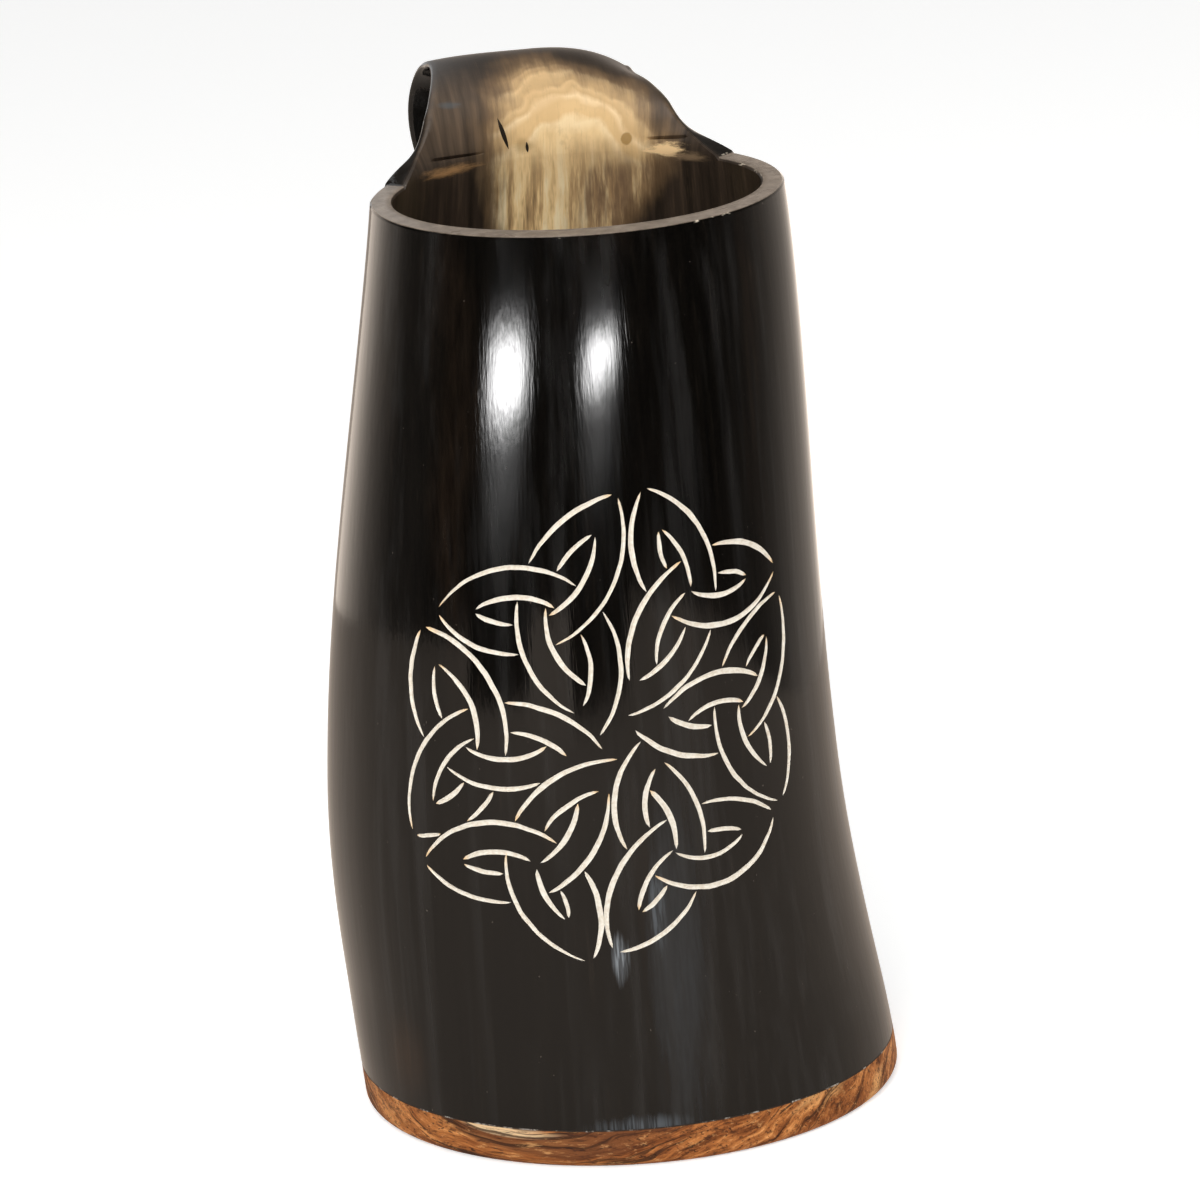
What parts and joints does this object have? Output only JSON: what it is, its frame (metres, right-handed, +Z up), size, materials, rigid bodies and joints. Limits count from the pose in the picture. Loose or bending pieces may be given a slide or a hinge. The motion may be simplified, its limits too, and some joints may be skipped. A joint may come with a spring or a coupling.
{
  "type": "horn drinking cup",
  "caption": "Drinking tankard made of a bowed length of dark polished horn, with a handle bent over from its own back wall and a flush wooden base.",
  "frame": {"origin": "middle of the base's underside, on the surface that the cup stands on", "axes": "+Z up along the cup, +Y towards the handle, the engraved side faces -Y"},
  "size_m": [0.0992, 0.1082, 0.1795],
  "materials": {
    "horn": "polished dark horn, with a pale patch on the handle",
    "wood": "oiled orange-brown wood with dark streaks",
    "glue": "dry glue line",
    "resin": "clear amber resin",
    "brass": "domed and polished by hand"
  },
  "bodies": {
    "root": {"horn_body": "horn", "base_disc": "wood", "base_glue": "glue", "seal_bead": "resin", "handle_glue": "resin", "handle_pins": "brass"}
  },
  "joints": []
}
